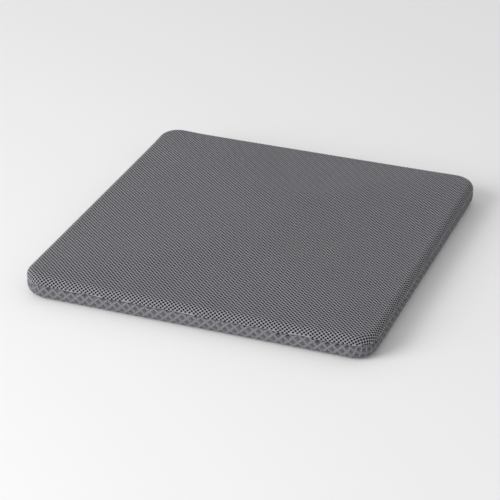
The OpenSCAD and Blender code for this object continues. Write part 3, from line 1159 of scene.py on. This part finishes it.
@dataclass
class Cover:
    """The two-panel cover, with its swell.

    Attributes:
        crown: How much lower the top's edge lies than its middle.
        corner: Radius of the pad's corners, seen from above.
        top_edge: Radius of the edge round the top.
        under_edge: Radius of the edge round the underside.
        mesh_thickness: Thickness of the spacer mesh.
        lattice_height: Height of the grip lattice.
        ground_thickness: Thickness of the ground fabric.
        window: Half of the zip opening's height.
        tack_reach: Distance from the opening's end to the far side of its bar tack.
        mesh_lattice: The mesh's holes.
        grip_lattice: The grip's diamonds.
    """

    crown: float = 5.5 * MM
    corner: float = 25 * MM
    top_edge: float = 7.5 * MM
    under_edge: float = 11.5 * MM
    mesh_thickness: float = 3 * MM
    lattice_height: float = 0.7 * MM
    ground_thickness: float = 1.2 * MM
    window: float = 3.9 * MM
    tack_reach: float = 2.9 * MM
    mesh_lattice: Lattice = Lattice(4.47 * MM, 4.13 * MM, 1.2)
    grip_lattice: Lattice = Lattice(10.2 * MM, 10.4 * MM, -0.8)
    swell: Swell = field(default_factory=Swell)

    def seam(self, plain: bool = False) -> SeamLine:
        """The seam, or a plain one with no sway and no opening."""
        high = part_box("grip_lattice")[1]
        zip_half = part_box("bar_tacks")[1].x - self.tack_reach
        if plain:
            return SeamLine(high.z, high.y, zip_half, 0.0, sway=0.0)
        return SeamLine(high.z, high.y, zip_half, self.window)

    def wrap(self, side: Side, plain: bool = False) -> Wrap:
        """The wrap of one panel."""
        low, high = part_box("grip_lattice")
        half = np.array([high.x - low.x, high.y - low.y]) / 2
        if side is Side.TOP:
            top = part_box("mesh_top")[1].z - self.crown
            shape = self.top_edge, top, 0.7 * MM, 1.6 * MM
        else:
            shape = self.under_edge, low.z, 0.9 * MM, 1.4 * MM
        return Wrap(side, half, self.corner, *shape, self.seam(plain), self.swell)

    def stuff(self) -> None:
        """Works out the cover's swell."""
        wraps = self.wrap(Side.TOP, True), self.wrap(Side.UNDERSIDE, True)
        PadForm(wraps, crown=self.crown).fill(self.swell)

    def mesh_top(self) -> bpy.types.Object:
        """The spacer mesh, with a hole in every cell of its knit."""
        cell = CellShape((octagon(0.405, 0.305), octagon(0.25, 0.19)), (0.36 * MM, 1.25 * MM), 1)
        panel = Panel(self.wrap(Side.TOP), self.mesh_lattice, cell, (0.0, 0.1 * MM), 0.0,
                      self.mesh_thickness, 0.3 * MM)
        # The holes' walls and floors take the second material, a near-black painted shade.
        piece = panel.shape().build("mesh_top_panel", [MESH_KNIT.material(), MESH_PAINTED_PIT_SHADE.material()])
        return finish_piece(piece, PAD_BODY, "spacer_mesh", "mesh_top")

    def grip_ground(self) -> bpy.types.Object:
        """The ground fabric, with a sunken dash in every diamond."""
        dash = CELL_RIM / np.abs(CELL_RIM).max(axis=1)[:, None]
        dash = dash / np.linalg.norm(dash, axis=1)[:, None]
        rings = (octagon(0.35, 0.32), dash * [0.27, 0.1], dash * [0.24, 0.06])
        cell = CellShape(rings, (0.05 * MM, 0.1 * MM, 0.45 * MM), 2)
        panel = Panel(self.wrap(Side.UNDERSIDE), self.grip_lattice, cell, (0.0, 0.0), self.lattice_height,
                      self.ground_thickness, 2 * MM)
        # Each dash's walls and floor take the second material, a darker painted shade.
        piece = panel.shape().build("grip_ground_fabric", [GROUND_KNIT.material(), GROUND_DASH_PAINTED_SHADE.material()])
        return finish_piece(piece, PAD_BODY, "grip_ground", "grip_base")

    def grip_ribs(self) -> bpy.types.Object:
        """The raised lattice on the ground fabric."""
        ribs = Ribs(self.wrap(Side.UNDERSIDE), self.grip_lattice, 2.7 * MM, 1.1 * self.lattice_height, 2)
        piece = ribs.shape().build("grip_lattice_ribs", [LATTICE_GRIP.material()])
        return finish_piece(piece, PAD_BODY, "grip_rubber", "grip_lattice")


@dataclass
class Filling:
    """What the cover holds: foam, wadding and the lining round them. Its top follows the cover's crown.

    Attributes:
        cover: The cover.
        corner: Radius of its corners, seen from above.
        top_edge: Radius of its upper edge.
        low_edge: Radius of its lower edge.
        lining: Thickness of the lining.
        overlap: Height at which the lining's two halves meet.
    """

    cover: Cover
    corner: float = 20 * MM
    top_edge: float = 5 * MM
    low_edge: float = 7 * MM
    lining: float = 0.4 * MM
    overlap: float = 21.8 * MM

    def ring(self, node: str, share: float, inset: float, height: float, follow: bool) -> np.ndarray:
        """One closed ring of points, on the outline of a node.

        Args:
            node: The node.
            share: Where the ring lies, as a share of the way out from the middle.
            inset: How far it lies inside the outline.
            height: Its height.
            follow: Whether it follows the cover's crown.

        Returns:
            The ring's points.
        """
        low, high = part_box(node)
        turn = np.radians(np.concatenate([np.linspace(90 * k, 90 * k + 90, 9) for k in range(4)]))
        way = np.stack([np.cos(turn), np.sin(turn)], axis=1)
        quarter = np.repeat([[1, 1], [-1, 1], [-1, -1], [1, -1]], 9, axis=0)
        half = np.array([high.x - low.x, high.y - low.y]) / 2
        middle = np.array([high.x + low.x, high.y + low.y]) / 2
        flat = (quarter * (half - self.corner) + way * (self.corner - inset)) * share + middle
        z = np.full(len(flat), height)
        if follow:
            z = z - self.cover.crown + self.cover.swell.at(flat, Side.TOP)[:, 2]
        return np.column_stack([flat, z])

    def upper(self, node: str, inset: float, height: float, lowest: float) -> list[np.ndarray]:
        """Rings of a face that follows the crown, from the middle over the edge and down to a height."""
        radius = self.top_edge
        rings = [self.ring(node, share, inset + radius, height, True) for share in INNER_SHARES[::-1]]
        for turn in np.radians([0, 30, 60, 90]):
            rings.append(self.ring(node, 1, inset + radius * (1 - math.sin(turn)),
                                   height - radius * (1 - math.cos(turn)), True))
        return rings + [self.ring(node, 1, inset, lowest, False)]

    def lower(self, node: str, inset: float, height: float, highest: float) -> list[np.ndarray]:
        """Rings of a flat lower face, from a height down over the edge to the middle."""
        radius = self.low_edge
        rings = [self.ring(node, 1, inset, highest, False)]
        for turn in np.radians([90, 60, 30, 0]):
            rings.append(self.ring(node, 1, inset + radius * (1 - math.sin(turn)),
                                   height + radius * (1 - math.cos(turn)), False))
        return rings

    def layer(self, node: str, rings: list[np.ndarray], slot: str, finish: Fabric) -> None:
        """Closes rings into one piece that stands for a node."""
        points = np.concatenate(rings)
        count = len(rings[0])
        around = np.arange(count)
        faces = []
        for k in range(len(rings) - 1):
            a, b = around + k * count, around + (k + 1) * count
            faces.append((np.stack([a, b, np.roll(b, -1), np.roll(a, -1)], axis=1), 0))
        faces.append((around[None, :], 0))
        faces.append(((around + (len(rings) - 1) * count)[None, ::-1], 0))
        shape = Shape(points, points[:, :2], faces)
        finish_piece(shape.build(f"{node}_layer", [material_of(finish)]), PAD_BODY, slot, node)

    def build(self) -> None:
        """Makes the lining, the wadding and the foam, and dresses the seam's thread."""
        lining_low, lining_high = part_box("lining_base")[0].z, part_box("lining_top")[1].z
        inner = self.lining
        outer_up = self.upper("lining_top", 0, lining_high, self.overlap)
        inner_up = self.upper("lining_top", inner, lining_high - inner, self.overlap)
        self.layer("lining_top", outer_up + inner_up[::-1], "lining_fabric", LINING)
        outer_down = self.lower("lining_base", 0, lining_low, self.overlap - 0.1 * MM)
        inner_down = self.lower("lining_base", inner, lining_low + inner, self.overlap - 0.1 * MM)
        self.layer("lining_base", inner_down[::-1] + outer_down, "lining_fabric", LINING)
        low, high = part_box("wadding")
        top = self.upper("wadding", 0, high.z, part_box("foam_core")[1].z - self.cover.crown - self.lining / 4)
        under = [self.ring("wadding", share, self.top_edge, low.z, True) for share in (1, *INNER_SHARES)]
        self.layer("wadding", top[:-1] + under, "wadding_fibre", WADDING)
        low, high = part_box("foam_core")
        shares = (*INNER_SHARES[::-1], 1)
        top = [self.ring("foam_core", share, self.top_edge, high.z, True) for share in shares]
        middle = (low.z + high.z) / 2
        self.layer("foam_core", top + self.lower("foam_core", 0, low.z, middle), "foam", FOAM)
        dress("seam_thread", THREAD)


@dataclass
class Zip:
    """The zip in the rear seam.

    Attributes:
        wire: Radius of the nylon wire.
        pitch: Distance between the coil's turns.
        nose: How far each turn reaches towards the other coil.
        thread: Radius of the stitches.
        stitch_pitch: Distance between stitches.
        stitch_gap: Fabric between two stitches.
        sink: How far a stitch's ends sink into the fabric.
        proud: How far the middle of a stitch stands off the fabric.
    """

    wire: float = 0.3 * MM
    pitch: float = 1.35 * MM
    nose: float = 0.2 * MM
    thread: float = 0.3 * MM
    stitch_pitch: float = 4 * MM
    stitch_gap: float = 1.2 * MM
    sink: float = 0.5 * MM
    proud: float = 0.1 * MM

    def coil(self, node: str, sign: int) -> bpy.types.Object:
        """One coil as a wound wire.

        Args:
            node: The coil's node.
            sign: 1 for the upper coil, -1 for the lower.

        Returns:
            The piece.
        """
        low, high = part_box(node)
        turns = (high.x - low.x - 2 * self.wire) / self.pitch
        angle = np.linspace(0, 2 * math.pi * turns, int(turns * 14))
        x = low.x + self.wire + self.pitch * angle / (2 * math.pi) + 0.2 * self.pitch * np.sin(angle)
        middle = np.array([(low.y + high.y) / 2, (low.z + high.z) / 2])
        deep, tall = (high.y - low.y) / 2 - self.wire, (high.z - low.z) / 2 - self.wire
        y = middle[0] + deep * np.sign(np.cos(angle)) * np.abs(np.cos(angle)) ** 0.8
        head = -sign * np.sin(angle)
        z = middle[1] + np.sin(angle) * tall - sign * self.nose * np.clip(head, 0, 1)
        path = np.stack([x, y, z], axis=1)
        return strands(f"{node}_wire", [path], self.wire, 6, (1, 0, 0), material_of(NYLON))

    def stitches(self, node: str, wrap: Wrap) -> bpy.types.Object:
        """One row of lockstitches, each a thread that sinks into the fabric at both ends."""
        low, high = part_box(node)
        count = round((high.x - low.x + self.stitch_gap) / self.stitch_pitch)
        length = self.stitch_pitch - self.stitch_gap
        part = np.linspace(-1, 1, 9)
        paths = []
        for k in range(count):
            x = low.x + length / 2 + k * self.stitch_pitch + part * (length / 2 + 0.35 * MM)
            z = (low.z + high.z) / 2 + 0.12 * MM * part
            paths.append(wrap.on_rear(x, z, self.sink * part ** 4 - self.proud))
        return strands(f"{node}_row", paths, self.thread, 8, (0, 0, 1), material_of(THREAD))

    def tacks(self, top: Wrap, under: Wrap) -> bpy.types.Object:
        """The bar tacks: dense zigzag stitches at both ends of the opening, across both panels."""
        low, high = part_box("bar_tacks")
        width = 2.5 * MM
        part = np.linspace(-1, 1, 7)
        paths = []
        for x in (low.x + width / 2, high.x - width / 2):
            count = int((high.z - low.z) / (0.62 * MM))
            for k in range(count):
                z = low.z + (k + 0.5) * (high.z - low.z) / count + 0.2 * MM * part
                wrap = top if z[0] > top.seam.height else under
                spots = x + part * (width / 2 + 0.1 * MM)
                paths.append(wrap.on_rear(spots, z, self.sink * part ** 4 - 2 * self.proud))
        return strands("bar_tack_stitches", paths, self.thread, 8, (0, 0, 1), material_of(THREAD))

    def build(self, top: Wrap, under: Wrap) -> None:
        """Makes and dresses the zip.

        Args:
            top: The upper panel's wrap, which the upper stitches hold.
            under: The lower panel's wrap.
        """
        for node, sign in (("zip_coil_upper", 1), ("zip_coil_lower", -1)):
            finish_piece(self.coil(node, sign), PAD_BODY, "zip_coil", node)
        for node, wrap in (("zip_stitch_upper", top), ("zip_stitch_lower", under)):
            finish_piece(self.stitches(node, wrap), PAD_BODY, "thread", node)
        finish_piece(self.tacks(top, under), PAD_BODY, "thread", "bar_tacks")
        for node in ("zip_tape_upper", "zip_tape_lower"):
            dress(node, TAPE)
        for node in ("zip_top_stops", "zip_bottom_stop", "zip_slider", "zip_bridge", "zip_pull"):
            dress(node, ZINC)


@dataclass
class CareLabel:
    """The blank label that hangs from the seam on the left side.

    Attributes:
        thickness: Thickness of the satin.
        bow: How far its free end stands off the pad.
        sewn: Share of its length that is held in the seam.
        across: Points across it.
        down: Points down it.
    """

    thickness: float = 0.3 * MM
    bow: float = 1.6 * MM
    sewn: float = 0.12
    across: int = 24
    down: int = 16

    def build(self) -> None:
        """Makes the label as a thin closed ribbon."""
        low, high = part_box("care_label")
        wide, long = high.y - low.y, high.z - low.z
        hidden = high.x - low.x
        part, fall = np.meshgrid(np.linspace(0, 1, self.across), np.linspace(0, 1, self.down), indexing="ij")
        inside = np.clip(1 - fall / self.sewn, 0, 1)
        hang = np.clip((fall - self.sewn) / (1 - self.sewn), 0, 1)
        bow = self.bow * hang ** 2 * (0.7 + 0.3 * np.sin(4 * part + 0.6))
        out = low.x + 0.15 * MM + hidden * 0.85 * inside - bow
        y = low.y + wide * part
        z = high.z - 0.1 * MM - (long - 0.3 * MM) * hang
        points = np.concatenate([
            np.stack([out + shift, y, z - shift * 0.5 * inside], axis=-1).reshape(-1, 3)
            for shift in (0.0, self.thickness)])
        grid = np.arange(self.across * self.down).reshape(self.across, self.down)
        corners = [grid[:-1, :-1], grid[:-1, 1:], grid[1:, 1:], grid[1:, :-1]]
        front_quads = np.stack(corners, axis=-1).reshape(-1, 4)
        rim = np.concatenate([grid[0, :-1], grid[:-1, -1], grid[-1, :0:-1], grid[:0:-1, 0]])
        rim_back = rim + grid.size
        side = np.stack([np.roll(rim, -1), rim, rim_back, np.roll(rim_back, -1)], axis=-1)
        faces = [(front_quads, 0), (front_quads[:, ::-1] + grid.size, 0), (side, 0)]
        flat = np.stack([points[:, 1], points[:, 2]], axis=1)
        piece = Shape(points, flat, faces).build("care_label_ribbon", [LABEL.material()])
        finish_piece(piece, PAD_BODY, "label_satin", "care_label")


# ---------------------------------------------------------------- studio


@dataclass
class Studio:
    """The floor, the lights and the camera.

    Attributes:
        azimuth: Direction that the camera looks from, in degrees.
        elevation: Its height above the floor, in degrees.
        distance: Its distance from the point that it looks at.
        lens: Its focal length, in millimetres.
        aim: The point that it looks at.
    """

    azimuth: float = 21.01
    elevation: float = 28.1
    distance: float = 2.149
    lens: float = 144.0
    aim: tuple[float, float, float] = (-5.4 * MM, -13.3 * MM, 0.0)

    def camera(self) -> None:
        """Makes the camera."""
        a, e = math.radians(self.azimuth), math.radians(self.elevation)
        back = Vector((math.sin(a) * math.cos(e), -math.cos(a) * math.cos(e), math.sin(e)))
        data = bpy.data.cameras.new("camera")
        data.lens = self.lens
        data.clip_start = 0.1
        camera = bpy.data.objects.new("camera", data)
        camera.location = Vector(self.aim) + back * self.distance
        camera.rotation_euler = back.to_track_quat("Z", "Y").to_euler()
        bpy.context.scene.collection.objects.link(camera)
        bpy.context.scene.camera = camera

    def floor(self) -> None:
        """Makes the floor, just under the pad."""
        size, level = 6.0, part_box("grip_lattice")[0].z - 0.02 * MM
        corners = ((-size, -size), (size, -size), (size, size), (-size, size))
        points = np.array([[x, y, level] for x, y in corners])
        material, _, shader = new_material("studio_floor")
        shader.inputs["Base Color"].default_value = (0.93, 0.93, 0.93, 1.0)
        shader.inputs["Roughness"].default_value = 0.9
        piece = Shape(points, points[:, :2], [(np.array([[0, 1, 2, 3]]), 0)]).build("floor", [material])

    def light(self, name: str, place: tuple[float, float, float], size: float, power: float) -> None:
        """Adds a square light that faces the pad.

        Args:
            name: Its name.
            place: Where it stands.
            size: Its width.
            power: Its power, in watts.
        """
        data = bpy.data.lights.new(name, "AREA")
        data.size = size
        data.energy = power
        lamp = bpy.data.objects.new(name, data)
        lamp.location = place
        lamp.rotation_euler = Vector(place).to_track_quat("Z", "Y").to_euler()
        bpy.context.scene.collection.objects.link(lamp)

    def build(self) -> None:
        """Makes the whole studio."""
        world = bpy.data.worlds.new("studio")
        world.use_nodes = True
        world.node_tree.nodes["Background"].inputs[0].default_value = (1.0, 1.0, 1.0, 1.0)
        world.node_tree.nodes["Background"].inputs[1].default_value = 0.58
        bpy.context.scene.world = world
        bpy.context.scene.view_settings.view_transform = "Standard"
        self.light("key", (-1.7, -2.1, 1.35), 1.9, 74.0)
        self.floor()
        self.camera()


def main() -> None:
    """Builds the studio, the cover, its filling, the zip and the label, in that order."""
    Studio().build()
    cover = Cover()
    cover.stuff()
    cover.mesh_top()
    cover.grip_ground()
    cover.grip_ribs()
    Filling(cover).build()
    Zip().build(cover.wrap(Side.TOP), cover.wrap(Side.UNDERSIDE))
    CareLabel().build()


if __name__ == "__main__":
    main()
